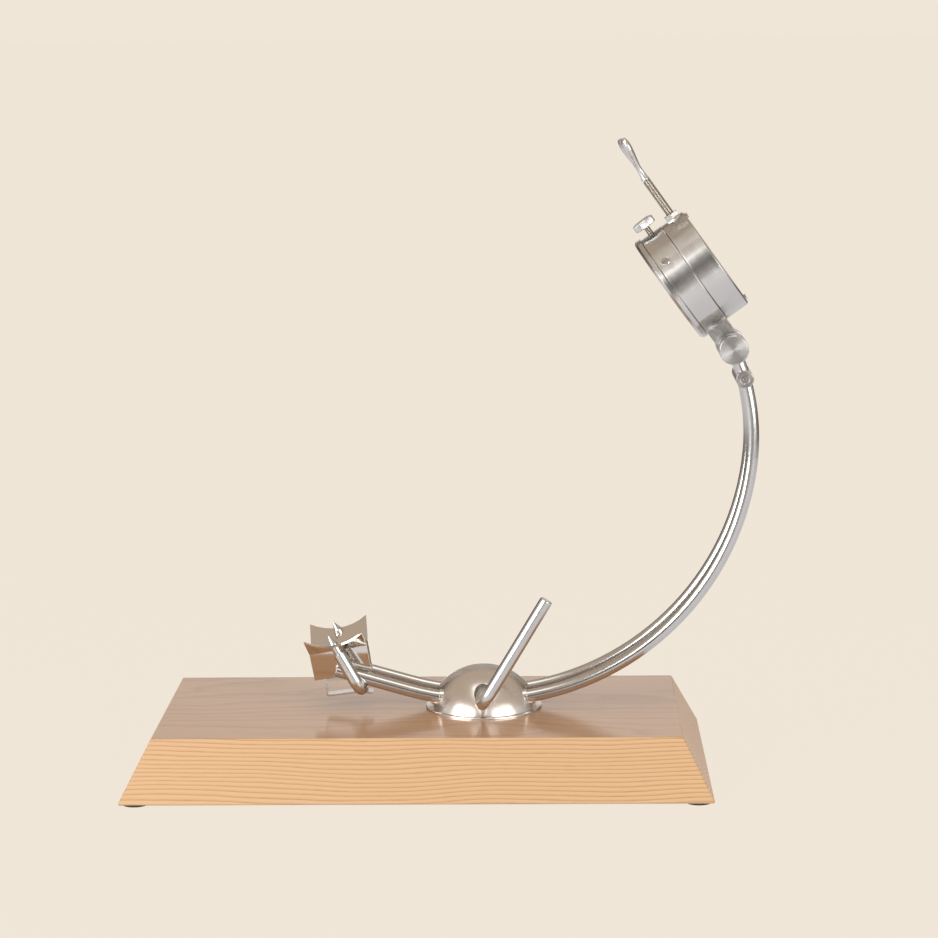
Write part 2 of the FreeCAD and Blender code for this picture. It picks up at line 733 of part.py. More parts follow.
def rim_screw_spots():
    step = 360 / RIM_SCREW_COUNT
    face_x = STATOR_HALF + RING_GAP + ROTOR_LENGTH
    angles = [RIM_SCREW_START + step * index for index in range(RIM_SCREW_COUNT)]
    return [radial(angle, face_x, RIM_SCREW_CIRCLE) for angle in angles]


def rim_screw_shanks():
    return [cylinder(RIM_SCREW_RADIUS, spot, spot - AXIS_X * RIM_SCREW_LENGTH) for spot in rim_screw_spots()]


def rim_screws():
    screws = []
    for spot, shank in zip(rim_screw_spots(), rim_screw_shanks()):
        head = cylinder(RIM_HEAD_RADIUS, spot, spot + AXIS_X * RIM_HEAD_HEIGHT)
        screws.append(join([head, shank]))
    return group(screws)


def ring_collar():
    """Chamfered collar screwed on the sleeve's free end."""
    end_x = -STATOR_HALF - RING_GAP
    start = V(end_x - COLLAR_LENGTH, 0, 0)
    collar = cylinder(COLLAR_RADIUS, start, V(end_x, 0, 0))
    collar = collar.makeChamfer(COLLAR_CHAMFER, edges_near(collar, start, NEAR))
    return cut(collar, cylinder(SLEEVE_RADIUS, start, V(end_x, 0, 0)))


def clamp_nut():
    """Hexagon nut welded to the rotor."""
    base = V(CLAMP_SCREW_X, 0, BORE_RADIUS)
    nut = nut_blank(CLAMP_NUT_FLATS, base, AXIS_Z * (CLAMP_NUT_TOP - BORE_RADIUS), CLAMP_NUT_TURN)
    return cut(nut, clamp_screw_hole(), cylinder(ROTOR_RADIUS, ORIGIN, V(OVERSIZE, 0, 0)))


def clamp_pad():
    """Round foot that presses on the hoof, with a socket for the screw's end."""
    base = V(CLAMP_SCREW_X, 0, PAD_TOP - PAD_HEIGHT)
    top = V(CLAMP_SCREW_X, 0, PAD_TOP)
    pad = cylinder(PAD_RADIUS, base, top)
    pad = pad.makeFillet(PAD_ROUND, edges_near(pad, base, NEAR))
    socket = cylinder(CLAMP_SCREW_RADIUS + CLAMP_THREAD_CLEARANCE, top - AXIS_Z * PAD_SOCKET, top)
    return cut(pad, socket)


def clamp_screw_rod():
    tip = V(CLAMP_SCREW_X, 0, PAD_TOP - PAD_SOCKET)
    return cylinder(CLAMP_SCREW_RADIUS, tip, V(CLAMP_SCREW_X, 0, THREAD_TOP))


def wing_blade(side):
    """One rounded lobe of the wing handle."""
    root = V(0, side * WING_ROOT, NECK_TOP)
    tip = V(0, side * WING_SPREAD, WING_TOP)
    half = AXIS_X * (WING_THICKNESS / 2)
    root_disc = cylinder(NECK_TOP_RADIUS, root - half, root + half)
    tip_disc = cylinder(WING_RADIUS, tip - half, tip + half)
    run = (tip - root).normalize()
    across = run.cross(AXIS_X)
    corners = [root + across * NECK_TOP_RADIUS, tip + across * WING_RADIUS,
               tip - across * WING_RADIUS, root - across * NECK_TOP_RADIUS]
    web = polygon_face([corner - half for corner in corners]).extrude(half * 2)
    return join([root_disc, tip_disc, web])


def wing_handle():
    """Tapered neck and two lobes, cranked off the screw's axis."""
    neck = cone(CLAMP_SCREW_RADIUS, NECK_TOP_RADIUS, V(0, 0, THREAD_TOP), V(0, 0, NECK_TOP))
    blades = join([wing_blade(-1), wing_blade(1)])
    blades.rotate(ORIGIN, AXIS_Z, WING_TWIST)
    handle = join([neck, blades])
    handle.rotate(V(0, 0, THREAD_TOP), AXIS_Y, WING_LEAN)
    handle.translate(V(CLAMP_SCREW_X, 0, 0))
    above = box(V(-OVERSIZE, -OVERSIZE, THREAD_TOP), V(OVERSIZE, OVERSIZE, OVERSIZE))
    return max(handle.common(above).Solids, key=lambda piece: piece.Volume)


def lock_tip():
    """Soft tip that the lock screw presses on the sleeve."""
    return cylinder(LOCK_TIP_RADIUS, V(0, 0, SLEEVE_RADIUS + RUN_CLEARANCE), V(0, 0, LOCK_TIP_TOP))


def lock_screw_stem():
    return cylinder(LOCK_RADIUS, V(0, 0, LOCK_TIP_TOP), V(0, 0, LOCK_HEAD_BASE))


def lock_screw_head():
    base = V(0, 0, LOCK_HEAD_BASE)
    top = base + AXIS_Z * LOCK_HEAD_HEIGHT
    head = cylinder(LOCK_HEAD_RADIUS, base, top)
    return head.makeChamfer(LOCK_HEAD_CHAMFER, edges_near(head, base, NEAR) + edges_near(head, top, NEAR))


def in_head(shape):
    """Move a shape from the head's frame to the stand's frame."""
    placed = shape.copy()
    placed.rotate(ORIGIN, AXIS_Y, -HEAD_TILT)
    placed.translate(HEAD_CENTRE)
    return placed


HEAD_NODES = {
    "ring_stator": ring_stator,
    "head_bracket": head_bracket,
    "index_plunger": index_plunger,
    "index_ball": index_ball,
    "ring_rotor": ring_rotor,
    "rim_screws": rim_screws,
    "ring_collar": ring_collar,
    "clamp_nut": clamp_nut,
    "clamp_pad": clamp_pad,
    "clamp_screw_rod": clamp_screw_rod,
    "wing_handle": wing_handle,
    "lock_tip": lock_tip,
    "lock_screw_stem": lock_screw_stem,
    "lock_screw_head": lock_screw_head,
}

STAND_NODES = {
    "wooden_base": wooden_base,
    "rubber_feet": rubber_feet,
    "hold_screws": hold_screws,
    "clamp_flange": clamp_flange,
    "centre_block": centre_block,
    "rear_jaw": rear_jaw,
    "guide_pins": guide_pins,
    "front_jaw": front_jaw,
    "lever_rod": lever_rod,
    "lever_stud": lever_stud,
    "arc_rod_front": lambda: arc_rod(-ROD_Y),
    "arc_rod_rear": lambda: arc_rod(ROD_Y),
    "spike_fork": spike_fork,
    "cradle_trough": cradle_trough,
    "cradle_clip": cradle_clip,
    "cross_barrel": cross_barrel,
    "barrel_grub_screws": barrel_grub_screws,
    "pivot_eye_front": lambda: pivot_eye(-1),
    "pivot_eye_rear": lambda: pivot_eye(1),
    "pivot_bolt": pivot_bolt,
    "pivot_nut": pivot_nut,
    "friction_washers": friction_washers,
    "tilt_knob": tilt_knob,
}


def main():
    os.makedirs("parts", exist_ok=True)
    shapes = {name: build() for name, build in STAND_NODES.items()}
    for name, build in HEAD_NODES.items():
        shapes[name] = in_head(build())
    whole = group(list(shapes.values())).optimalBoundingBox()
    for name, shape in shapes.items():
        print(f"{name:20s} valid={shape.isValid()} solids={len(shape.Solids)} cm3={shape.Volume / 1000:.2f}")
        shape.exportStep(f"parts/{name}.step")
    print("x", whole.XMin, whole.XMax, "y", whole.YMin, whole.YMax, "z", whole.ZMin, whole.ZMax)
    print("pivot", PIVOT, "head", HEAD_CENTRE, "barrel", BARREL)


main()
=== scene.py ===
import math

import bmesh
import bpy
from mathutils import Matrix, Vector


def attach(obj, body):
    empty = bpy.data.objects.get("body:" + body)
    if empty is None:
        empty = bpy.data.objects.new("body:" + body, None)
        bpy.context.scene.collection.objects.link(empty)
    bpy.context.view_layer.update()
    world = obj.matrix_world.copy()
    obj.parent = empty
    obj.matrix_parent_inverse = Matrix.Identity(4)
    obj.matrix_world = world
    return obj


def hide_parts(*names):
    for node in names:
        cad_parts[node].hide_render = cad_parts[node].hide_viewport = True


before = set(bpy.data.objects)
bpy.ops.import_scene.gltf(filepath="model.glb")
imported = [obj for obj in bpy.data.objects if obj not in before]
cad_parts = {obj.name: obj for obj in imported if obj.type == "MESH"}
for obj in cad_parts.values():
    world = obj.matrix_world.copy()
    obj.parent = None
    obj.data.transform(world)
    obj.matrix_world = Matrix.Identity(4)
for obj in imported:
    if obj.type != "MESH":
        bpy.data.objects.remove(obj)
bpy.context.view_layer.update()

MILLI = 0.001
MICRON = 0.000001

# Places that the CAD fixes, in metres
ARC_CENTRE = Vector((0.035115, 0, 0.318))
HEAD_CENTRE = Vector((0.2239955, 0, 0.4597059))
PIVOT = Vector((0.2681787, 0, 0.3979916))
BARREL = Vector((0.2787799, 0, 0.3699362))
HEAD_TILT = math.radians(35.6)
HEAD_X = Vector((math.cos(HEAD_TILT), 0, math.sin(HEAD_TILT)))
HEAD_Z = Vector((-math.sin(HEAD_TILT), 0, math.cos(HEAD_TILT)))
ORIGIN = Vector((0, 0, 0))
AXIS_Y = Vector((0, 1, 0))

# Screws and handle, in millimetres in the ring head's own frame: X along the ring's axis and Z
# outwards, towards the wing handle
CLAMP_X = 25.0
CLAMP_THREAD = {"start": 33.3, "end": 95.0, "outer": 3.95, "root": 3.32, "pitch": 1.25,
                "x": CLAMP_X}
LOCK_THREAD = {"start": 49.6, "end": 60.0, "outer": 2.95, "root": 2.42, "pitch": 1.0, "x": 0.0}
THREAD_FLANK = 0.55
THREAD_COLUMNS = 32
THREAD_CREASE = math.radians(50)

# Wing handle: height, offset along Y, half width along Y and half thickness along X of its sections
HANDLE_NECK = [
    (95.0, 0, 3.95, 3.95), (95.8, 0, 3.9, 3.9), (98.0, 0, 3.35, 3.35), (102.0, 0, 2.9, 2.9),
    (106.0, 0, 2.9, 2.6), (110.0, 0, 3.3, 2.5), (113.0, 0, 3.0, 2.3)]
HANDLE_LOBE = [
    (104.0, 0.6, 2.1, 2.1), (108.0, 1.6, 2.3, 2.2), (112.0, 3.0, 2.9, 2.4), (117.0, 4.7, 4.1, 2.8),
    (122.0, 6.2, 5.7, 3.3), (127.0, 7.3, 6.8, 3.7), (131.5, 8.0, 7.1, 3.8), (135.0, 8.4, 6.2, 3.5),
    (137.6, 8.7, 4.6, 2.9), (139.3, 8.8, 2.3, 1.8)]
HANDLE_COLUMNS = 28
HANDLE_TWIST = math.radians(8)
HANDLE_LEAN = math.radians(4.5)
HANDLE_VOXEL = 0.5 * MILLI
HANDLE_RELAXED = 6

# Knurled head: radius and height of its outline, and which of those rings carry the knurls
KNURLED_OUTLINE = [
    (3.2, 60.0), (9.6, 60.0), (10.2, 60.4), (10.5, 61.1), (10.5, 65.9), (10.2, 66.6),
    (9.5, 67.0), (8.6, 67.0), (8.0, 66.6), (3.0, 66.4), (0.5, 66.4)]
KNURLED_RINGS = (3, 4)
KNURLS = 72
KNURL_COLUMNS = 4 * KNURLS
KNURL_DEPTH = 0.35
KNURL_CREASE = math.radians(40)

# Noise nodes give mostly values between these two
NOISE_RANGE = (0.3, 0.7)

# Steel: dark and light tone of each kind, turning lines a metre and how deep they are
BRIGHT = ((0.60, 0.59, 0.575), (0.70, 0.69, 0.675))
GREY = ((0.60, 0.58, 0.555), (0.69, 0.67, 0.645))
MIRROR = ((0.74, 0.735, 0.725), (0.80, 0.795, 0.785))
WARM = ((0.76, 0.71, 0.66), (0.83, 0.78, 0.735))
DULL = ((0.47, 0.43, 0.38), (0.58, 0.54, 0.485))
LINES = 1400.0
LINE_DEPTH = 3 * MICRON
CLOUDS = 46.0
SWELLS = 90.0
EASED_EDGE = 0.4 * MILLI
FLAT_SIDE = (0.98, 0.995)
QUARTER_TURN = 0.25

# Board, in metres: glued staves side by side along Y, each with growth rings round a heart below it
STAVE_WIDTH = 0.075
STAVES_START = -0.1875
HEART_SIDEWAYS = 0.03
HEART_BELOW = (0.11, 0.17)
RING_SPACING = 0.0036
RING_SWAY = 0.014
RING_RIPPLE = 0.0007
STAVE_SHIFT = (7.3, 2.1, 3.7)
GLUED_EDGE = (0.494, 0.499)
UPWARD = (0.86, 0.99)
PALE_WOOD, MID_WOOD, LINE_WOOD = (0.60, 0.395, 0.22), (0.54, 0.325, 0.155), (0.41, 0.185, 0.062)
PORE_WOOD, CAST_WOOD, GLUE = (0.31, 0.125, 0.04), (0.52, 0.31, 0.16), (0.28, 0.13, 0.055)
# Top colours, darker and redder than the sides': painted shade and a painted warm reflection
TOP_LINE_PAINTED_LIGHT, TOP_WOOD_PAINTED_LIGHT, TOP_FIBRE_PAINTED_LIGHT = (0.37, 0.185, 0.085), (0.43, 0.235, 0.115), (0.34, 0.17, 0.08)

# Camera, solved from the photo: metres, radians and millimetres
CAMERA_PLACE = Vector((0.092645, -2.58426, 0.70971))
CAMERA_YAW = 0.026735677
CAMERA_PITCH = 0.163358082
CAMERA_ROLL = -0.011087005
CAMERA_LENS = 107.463
SENSOR_WIDTH = 36

# Studio
CREAM = (0.871, 0.791, 0.686, 1)
FLOOR_HALF = 60.0
FLOOR_GLOW = 0.985
# The floor's glow for all rays but the camera's: a painted pool of light round the stand, dim
# further off
GLOW_POOL_EDGE = (1.3, 2.2)
POOL_GLOW, FAR_GLOW = (0.60, 0.595, 0.61, 1), (0.09, 0.075, 0.06, 1)
BOUNCE_FLOOR, SEEN_FLOOR = (0.20, 0.20, 0.21, 1), (0.015, 0.0137, 0.0118, 1)
CEILING = (0.52, 0.43, 0.345, 1)
CEILING_BLEND = [(0.0, (0, 0, 0)), (0.3, (0, 0, 0)), (0.6, (1, 1, 1))]
WALLS_FRONT_TO_BACK = [
    (0.0, (0.13, 0.115, 0.10)), (0.05, (0.19, 0.175, 0.16)), (0.22, (0.58, 0.57, 0.56)),
    (0.5, (0.62, 0.60, 0.58)), (0.75, (0.26, 0.21, 0.17)), (0.87, (0.10, 0.065, 0.045)),
    (0.95, (0.12, 0.08, 0.06)), (0.985, (0.95, 0.90, 0.84)), (1.0, (1.0, 0.95, 0.89))]

# Softboxes: name, azimuth from the camera's side towards +X and elevation in degrees, then
# distance, width and height in metres, and power in watts
SOFTBOXES = [
    ("key_left", -45, 14, 1.9, 1.35, 1.1, 25),
    ("key_right", 43, 14, 1.9, 1.45, 1.1, 18),
    ("top", 0, 75, 2.2, 1.6, 1.2, 9)]
AIM = Vector((0.08, 0, 0.25))


def matrix_of(x_axis, y_axis, z_axis, place):
    """Matrix from the frame with these axes and this origin to the world."""
    matrix = Matrix.Identity(4)
    for column, vector in enumerate((x_axis, y_axis, z_axis, place)):
        for row in range(3):
            matrix[row][column] = vector[row]
    return matrix


# Shading

class Graph:
    """The node graph of a world or material, with short calls for the nodes that are used here."""

    def __init__(self, owner):
        owner.use_nodes = True
        self.tree = owner.node_tree
        self.tree.nodes.clear()

    def put(self, socket, value):
        if isinstance(value, bpy.types.NodeSocket):
            self.tree.links.new(value, socket)
        else:
            socket.default_value = value

    def add(self, kind, inputs, **settings):
        node = self.tree.nodes.new(kind)
        for key, value in settings.items():
            setattr(node, key, value)
        for key, value in inputs.items():
            self.put(node.inputs[key], value)
        return node

    def coordinates(self, kind):
        return self.add("ShaderNodeTexCoord", {}).outputs[kind]

    def seen(self):
        """1 for the camera's own rays and 0 for all others."""
        return self.add("ShaderNodeLightPath", {}).outputs["Is Camera Ray"]

    def math(self, operation, first, second=0.0):
        return self.add("ShaderNodeMath", {0: first, 1: second}, operation=operation).outputs[0]

    def vector(self, operation, first, second=(0, 0, 0), output="Vector"):
        node = self.add("ShaderNodeVectorMath", {0: first, 1: second}, operation=operation)
        return node.outputs[output]

    def value(self, operation, first, second=(0, 0, 0)):
        return self.vector(operation, first, second, "Value")

    def scaled(self, vector, factor):
        inputs = {0: vector, "Scale": factor}
        return self.add("ShaderNodeVectorMath", inputs, operation="SCALE").outputs["Vector"]

    def combined(self, x, y):
        return self.add("ShaderNodeCombineXYZ", {0: x, 1: y}).outputs[0]

    def parts(self, vector):
        return self.add("ShaderNodeSeparateXYZ", {0: vector}).outputs

    def noise(self, vector, scale, detail, rough):
        inputs = {"Vector": vector, "Scale": scale, "Detail": detail, "Roughness": rough}
        return self.add("ShaderNodeTexNoise", inputs).outputs["Fac"]

    def span(self, value, low, high, out_low, out_high):
        inputs = {"Value": value, "From Min": low, "From Max": high,
                  "To Min": out_low, "To Max": out_high}
        return self.add("ShaderNodeMapRange", inputs).outputs["Result"]

    def spread(self, noise, out_low, out_high):
        """Span from the values that a noise mostly has."""
        return self.span(noise, *NOISE_RANGE, out_low, out_high)

    def ramp(self, value, stops):
        node = self.add("ShaderNodeValToRGB", {"Fac": value})
        elements = node.color_ramp.elements
        while len(elements) < len(stops):
            elements.new(0.5)
        for element, (position, colour) in zip(elements, stops):
            element.position = position
            element.color = (*colour, 1)
        return node.outputs["Color"]

    def mix(self, factor, first, second):
        node = self.add("ShaderNodeMix", {0: factor}, data_type="RGBA")
        for index, colour in ((6, first), (7, second)):
            self.put(node.inputs[index], colour)
        return node.outputs[2]


class Surface(Graph):
    """A material with one principled shader, on coordinates in the piece's own frame."""

    def __init__(self, name):
        self.material = bpy.data.materials.new(name)
        super().__init__(self.material)
        self.shader = self.add("ShaderNodeBsdfPrincipled", {})
        self.add("ShaderNodeOutputMaterial", {"Surface": self.shader.outputs["BSDF"]})
        self.place = self.coordinates("Object")

    def shade(self, name, value):
        self.put(self.shader.inputs[name], value)

    def facing(self, index):
        """Part of the surface's normal along one of the piece's own axes."""
        return self.parts(self.coordinates("Normal"))[index]

    def bump(self, height, strength, distance, normal=None):
        inputs = {"Height": height, "Strength": strength, "Distance": distance}
        if normal is not None:
            inputs["Normal"] = normal
        return self.add("ShaderNodeBump", inputs).outputs["Normal"]


def steel(name, tone, rough, centre=ORIGIN, axis=AXIS_Y, anisotropic=0.0, lines=LINES,
          depth=LINE_DEPTH, wave=0.0, side_rough=None):
    """Steel with fine lines round an axis, uneven roughness and a little variation of tone.

    wave is the height of slow swells in metres. side_rough is the least roughness of the faces
    square to Y.
    """
    graph = Surface(name)
    offset = graph.vector("SUBTRACT", graph.place, tuple(centre))
    along = graph.value("DOT_PRODUCT", offset, tuple(axis))
    flat = graph.vector("SUBTRACT", offset, graph.scaled(tuple(axis), along))
    radius = graph.value("LENGTH", flat)
    quick = graph.combined(graph.math("MULTIPLY", radius, lines),
                           graph.math("MULTIPLY", along, lines))
    streaks = graph.noise(graph.vector("ADD", quick, graph.scaled(flat, 14.0)), 1.0, 3.0, 0.6)
    clouds = graph.noise(graph.place, CLOUDS, 3.0, 0.55)
    dark, light = ((*colour, 1) for colour in tone)
    tint = graph.mix(clouds, dark, light)
    graph.shade("Base Color", graph.mix(graph.spread(streaks, 0.0, 0.16), tint, dark))
    both = graph.math("ADD", graph.math("MULTIPLY", streaks, 0.6),
                      graph.math("MULTIPLY", clouds, 0.4))
    roughness = graph.spread(both, rough * 0.75, rough * 1.25)
    if side_rough is not None:
        facing = graph.math("ABSOLUTE", graph.facing(1))
        least = graph.span(facing, *FLAT_SIDE, 0.0, side_rough)
        roughness = graph.math("MAXIMUM", roughness, least)
    graph.shade("Roughness", roughness)
    graph.shade("Metallic", 1.0)
    eased = graph.add("ShaderNodeBevel", {"Radius": EASED_EDGE}, samples=6).outputs["Normal"]
    normal = graph.bump(streaks, 0.35, depth, eased)
    if wave:
        normal = graph.bump(graph.noise(graph.place, SWELLS, 1.0, 0.4), 0.5, wave, normal)
    graph.shade("Normal", normal)
    if anisotropic:
        graph.shade("Anisotropic", anisotropic)
        graph.shade("Anisotropic Rotation", QUARTER_TURN)
        turn = graph.vector("NORMALIZE", graph.vector("CROSS_PRODUCT", tuple(axis), offset))
        world = graph.add("ShaderNodeVectorTransform", {"Vector": turn}, vector_type="VECTOR",
                          convert_from="OBJECT", convert_to="WORLD").outputs[0]
        graph.shade("Tangent", world)
    return graph.material


def drawn_out(graph, place, along, across, detail, rough):
    """Noise with these many cycles a metre along X and across it."""
    stretched = graph.vector("MULTIPLY", place, (along, across, across))
    return graph.noise(stretched, 1.0, detail, rough)


def growth_ring(graph, stave, shifted):
    """Where a point lies between two growth lines, from 0 to 1."""
    parts = graph.parts(graph.place)
    chance = graph.add("ShaderNodeTexWhiteNoise", {"W": stave},
                       noise_dimensions="1D").outputs["Value"]
    middle = graph.math("ADD", graph.math("MULTIPLY", stave, STAVE_WIDTH),
                        STAVES_START + STAVE_WIDTH / 2)
    across = graph.math("SUBTRACT", graph.math("SUBTRACT", parts[1], middle),
                        graph.span(chance, 0.0, 1.0, -HEART_SIDEWAYS, HEART_SIDEWAYS))
    height = graph.math("ADD", parts[2], graph.span(chance, 0.0, 1.0, *HEART_BELOW))
    distance = graph.value("LENGTH", graph.combined(across, height))
    sway = drawn_out(graph, shifted, 3.2, 9.0, 2.0, 0.45)
    ripple = drawn_out(graph, shifted, 22.0, 90.0, 3.0, 0.5)
    for noise, reach in ((sway, RING_SWAY), (ripple, RING_RIPPLE)):
        distance = graph.math("ADD", distance, graph.span(noise, 0.0, 1.0, -reach, reach))
    return graph.math("FRACT", graph.math("DIVIDE", distance, RING_SPACING))


def side_wood(graph, staves, ring, early, fibre, shifted):
    """Colour of bare ash: growth lines, fibre, pores in the early wood and glued edges."""
    pores = drawn_out(graph, shifted, 75.0, 900.0, 1.0, 0.5)
    cast = drawn_out(graph, shifted, 1.6, 7.0, 2.0, 0.5)
    from_middle = graph.math("ABSOLUTE", graph.math("SUBTRACT", graph.math("FRACT", staves), 0.5))
    colour = graph.ramp(ring, [(0.0, LINE_WOOD), (0.16, MID_WOOD), (0.46, PALE_WOOD),
                               (0.88, PALE_WOOD), (1.0, LINE_WOOD)])
    for amount, tint in (
            (graph.spread(fibre, 0.0, 0.22), MID_WOOD),
            (graph.math("MULTIPLY", graph.span(pores, 0.56, 0.68, 0.0, 0.5), early), PORE_WOOD),
            (graph.spread(cast, 0.0, 0.30), CAST_WOOD),
            (graph.span(from_middle, *GLUED_EDGE, 0.0, 0.28), GLUE)):
        colour = graph.mix(amount, colour, (*tint, 1))
    return colour


def top_wood_painted_light(graph, ring, fibre):
    """Colour of the varnished top with faint growth lines, darker and redder than the sides as
    painted shade and a painted warm reflection.
    """
    off_line = graph.math("MINIMUM", graph.span(ring, 0.0, 0.4, 0.0, 1.0),
                          graph.span(ring, 0.9, 1.0, 1.0, 0.0))
    faint = graph.mix(off_line, (*TOP_LINE_PAINTED_LIGHT, 1), (*TOP_WOOD_PAINTED_LIGHT, 1))
    return graph.mix(graph.spread(fibre, 0.0, 0.35), faint, (*TOP_FIBRE_PAINTED_LIGHT, 1))


def wood():
    """Ash in glued staves with the grain along X, under a satin varnish, thickest on the top."""
    graph = Surface("ash_board")
    staves = graph.math("DIVIDE", graph.math("SUBTRACT", graph.parts(graph.place)[1], STAVES_START),
                        STAVE_WIDTH)
    stave = graph.math("FLOOR", staves)
    shift = graph.scaled(STAVE_SHIFT, graph.math("ADD", stave, 2.0))
    shifted = graph.vector("ADD", graph.place, shift)
    ring = growth_ring(graph, stave, shifted)
    early = graph.span(ring, 0.02, 0.3, 1.0, 0.0)
    fibre = drawn_out(graph, shifted, 40.0, 1500.0, 2.0, 0.6)
    upward = graph.facing(2)
    # Faces that look up take the top's colours: painted shade and a painted warm reflection over
    # the grain
    graph.shade("Base Color", graph.mix(graph.span(upward, *UPWARD, 0.0, 0.82),
                                        side_wood(graph, staves, ring, early, fibre, shifted),
                                        top_wood_painted_light(graph, ring, fibre)))
    graph.shade("Roughness", graph.spread(fibre, 0.40, 0.54))
    graph.shade("Specular IOR Level", 0.45)
    graph.shade("Coat Weight", graph.span(upward, *UPWARD, 0.25, 1.0))
    graph.shade("Coat Roughness", 0.16)
    relief = graph.math("ADD", graph.math("MULTIPLY", fibre, 0.5),
                        graph.math("MULTIPLY", early, -0.5))
    graph.shade("Normal", graph.bump(relief, 0.3, 60 * MICRON))
    return graph.material


def soft_material(name, dark, light, rough, grain):
    """Rubber, fibre or plastic with a fine even grain."""
    graph = Surface(name)
    speckle = graph.noise(graph.place, grain, 4.0, 0.6)
    graph.shade("Base Color", graph.mix(speckle, (*dark, 1), (*light, 1)))
    graph.shade("Roughness", graph.spread(speckle, rough * 0.85, rough * 1.1))
    graph.shade("Normal", graph.bump(speckle, 0.4, 50 * MICRON))
    return graph.material


def paint(material, *names):
    for name in names:
        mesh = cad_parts[name].data
        mesh.materials.clear()
        mesh.materials.append(material)


paint(steel("turned_head", BRIGHT, 0.22, HEAD_CENTRE, HEAD_X, 0.85, depth=1 * MICRON),
      "ring_stator", "ring_rotor", "ring_collar")
paint(steel("head_block", BRIGHT, 0.3), "head_bracket")
paint(steel("turned_pivot", BRIGHT, 0.30, PIVOT, AXIS_Y, 0.85),
      "tilt_knob", "pivot_eye_front", "pivot_eye_rear")
paint(steel("turned_barrel", BRIGHT, 0.24, BARREL, AXIS_Y, 0.6), "cross_barrel")
paint(steel("polished_bar", BRIGHT, 0.2, ARC_CENTRE, AXIS_Y, lines=900.0, depth=0.6 * MICRON),
      "arc_rod_front", "arc_rod_rear")
paint(steel("polished_fork", BRIGHT, 0.24, wave=20 * MICRON), "spike_fork")
paint(steel("polished_lever", BRIGHT, 0.24, depth=1 * MICRON), "lever_rod")
paint(steel("mirror_sheet", WARM, 0.07, wave=20 * MICRON), "cradle_trough")
paint(steel("spring_strip", MIRROR, 0.24), "cradle_clip")
paint(steel("mirror_dome", WARM, 0.24, wave=30 * MICRON, side_rough=0.42),
      "front_jaw", "rear_jaw", "clamp_flange")
paint(steel("milled_block", GREY, 0.3), "centre_block", "guide_pins")
paint(steel("bright_screws", BRIGHT, 0.2),
      "hold_screws", "lever_stud", "barrel_grub_screws", "pivot_bolt", "pivot_nut",
      "index_plunger", "rim_screws", "index_ball", "clamp_pad", "clamp_screw_rod",
      "lock_screw_stem", "lock_screw_head", "wing_handle")
paint(steel("nut_steel", GREY, 0.24), "clamp_nut")
paint(wood(), "wooden_base")
paint(soft_material("dark_rubber", (0.02, 0.018, 0.016), (0.045, 0.04, 0.036), 0.7, 900.0),
      "rubber_feet")
paint(soft_material("dark_fibre", (0.03, 0.03, 0.03), (0.07, 0.07, 0.068), 0.6, 1200.0),
      "friction_washers")
paint(soft_material("pale_nylon", (0.66, 0.64, 0.58), (0.76, 0.74, 0.68), 0.4, 1500.0), "lock_tip")


# Pieces with more detail than their CAD nodes

def new_piece(name, shape, material, body, slot_name, *replaced):
    """Object from points and faces in the head's frame, in millimetres."""
    verts, faces = shape
    mesh = bpy.data.meshes.new(name)
    mesh.from_pydata([vert * MILLI for vert in verts], [], faces)
    mesh.validate()
    shaped = bmesh.new()
    shaped.from_mesh(mesh)
    bmesh.ops.remove_doubles(shaped, verts=shaped.verts, dist=MICRON)
    bmesh.ops.recalc_face_normals(shaped, faces=shaped.faces)
    shaped.transform(matrix_of(HEAD_X, AXIS_Y, HEAD_Z, HEAD_CENTRE))
    shaped.to_mesh(mesh)
    shaped.free()
    mesh.materials.append(material)
    piece = bpy.data.objects.new(name, mesh)
    bpy.context.scene.collection.objects.link(piece)
    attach(piece, body)
    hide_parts(*replaced)
    return piece


def smooth(piece, crease):
    """Soft shading except over edges sharper than the crease."""
    shaped = bmesh.new()
    shaped.from_mesh(piece.data)
    for face in shaped.faces:
        face.smooth = True
    for edge in shaped.edges:
        if len(edge.link_faces) == 2 and edge.calc_face_angle() > crease:
            edge.smooth = False
    shaped.to_mesh(piece.data)
    shaped.free()


def turns(columns):
    """Angles of evenly spaced columns round an axis."""
    return [2 * math.pi * column / columns for column in range(columns)]


def thread(start, end, outer, root, pitch, x):
    """Points and faces of a helical thread along Z, closed at both ends."""
    flank = root + (outer - root) * THREAD_FLANK
    profile = [outer, outer, flank, root, root, root, flank, outer]
    steps = len(profile)
    rows = int((end - start - pitch) / pitch * steps)
    tall = rows + steps + 1
    verts = []
    for column, turn in enumerate(turns(THREAD_COLUMNS)):
        for row in range(tall):
            height = start + (row / steps + column / THREAD_COLUMNS) * pitch
            radius = profile[row % steps]
            verts.append(Vector((x + radius * math.cos(turn), radius * math.sin(turn),
                                 min(height, end))))

    def at(column, row):
        """Index of a point; the column after the last is the first, one pitch up."""
        if column == THREAD_COLUMNS:
            return row + steps
        return column * tall + row

    faces = [(at(column, row), at(column + 1, row), at(column + 1, row + 1), at(column, row + 1))
             for column in range(THREAD_COLUMNS) for row in range(rows)]
    for row, height in ((0, start), (rows, end)):
        centre = len(verts)
        verts.append(Vector((x, 0, height)))
        loop = [at(column, row) for column in range(THREAD_COLUMNS)]
        loop += [at(0, row + step) for step in range(steps, -1, -1)]
        faces += [(centre, first, second) for first, second in zip(loop, loop[1:])]
    return verts, faces


def screw_thread(name, sizes, body, replaced):
    piece = new_piece(name, thread(**sizes), threaded, body, "thread_steel", replaced)
    smooth(piece, THREAD_CREASE)


def ring_faces(rings, columns):
    """Faces from each ring of points to the next, and one over either end."""
    faces = []
    for first in range(0, (rings - 1) * columns, columns):
        for column in range(columns):
            after = (column + 1) % columns
            faces.append((first + column, first + after,
                          first + columns + after, first + columns + column))
    faces.append(tuple(range(columns))[::-1])
    faces.append(tuple(range((rings - 1) * columns, rings * columns)))
    return faces


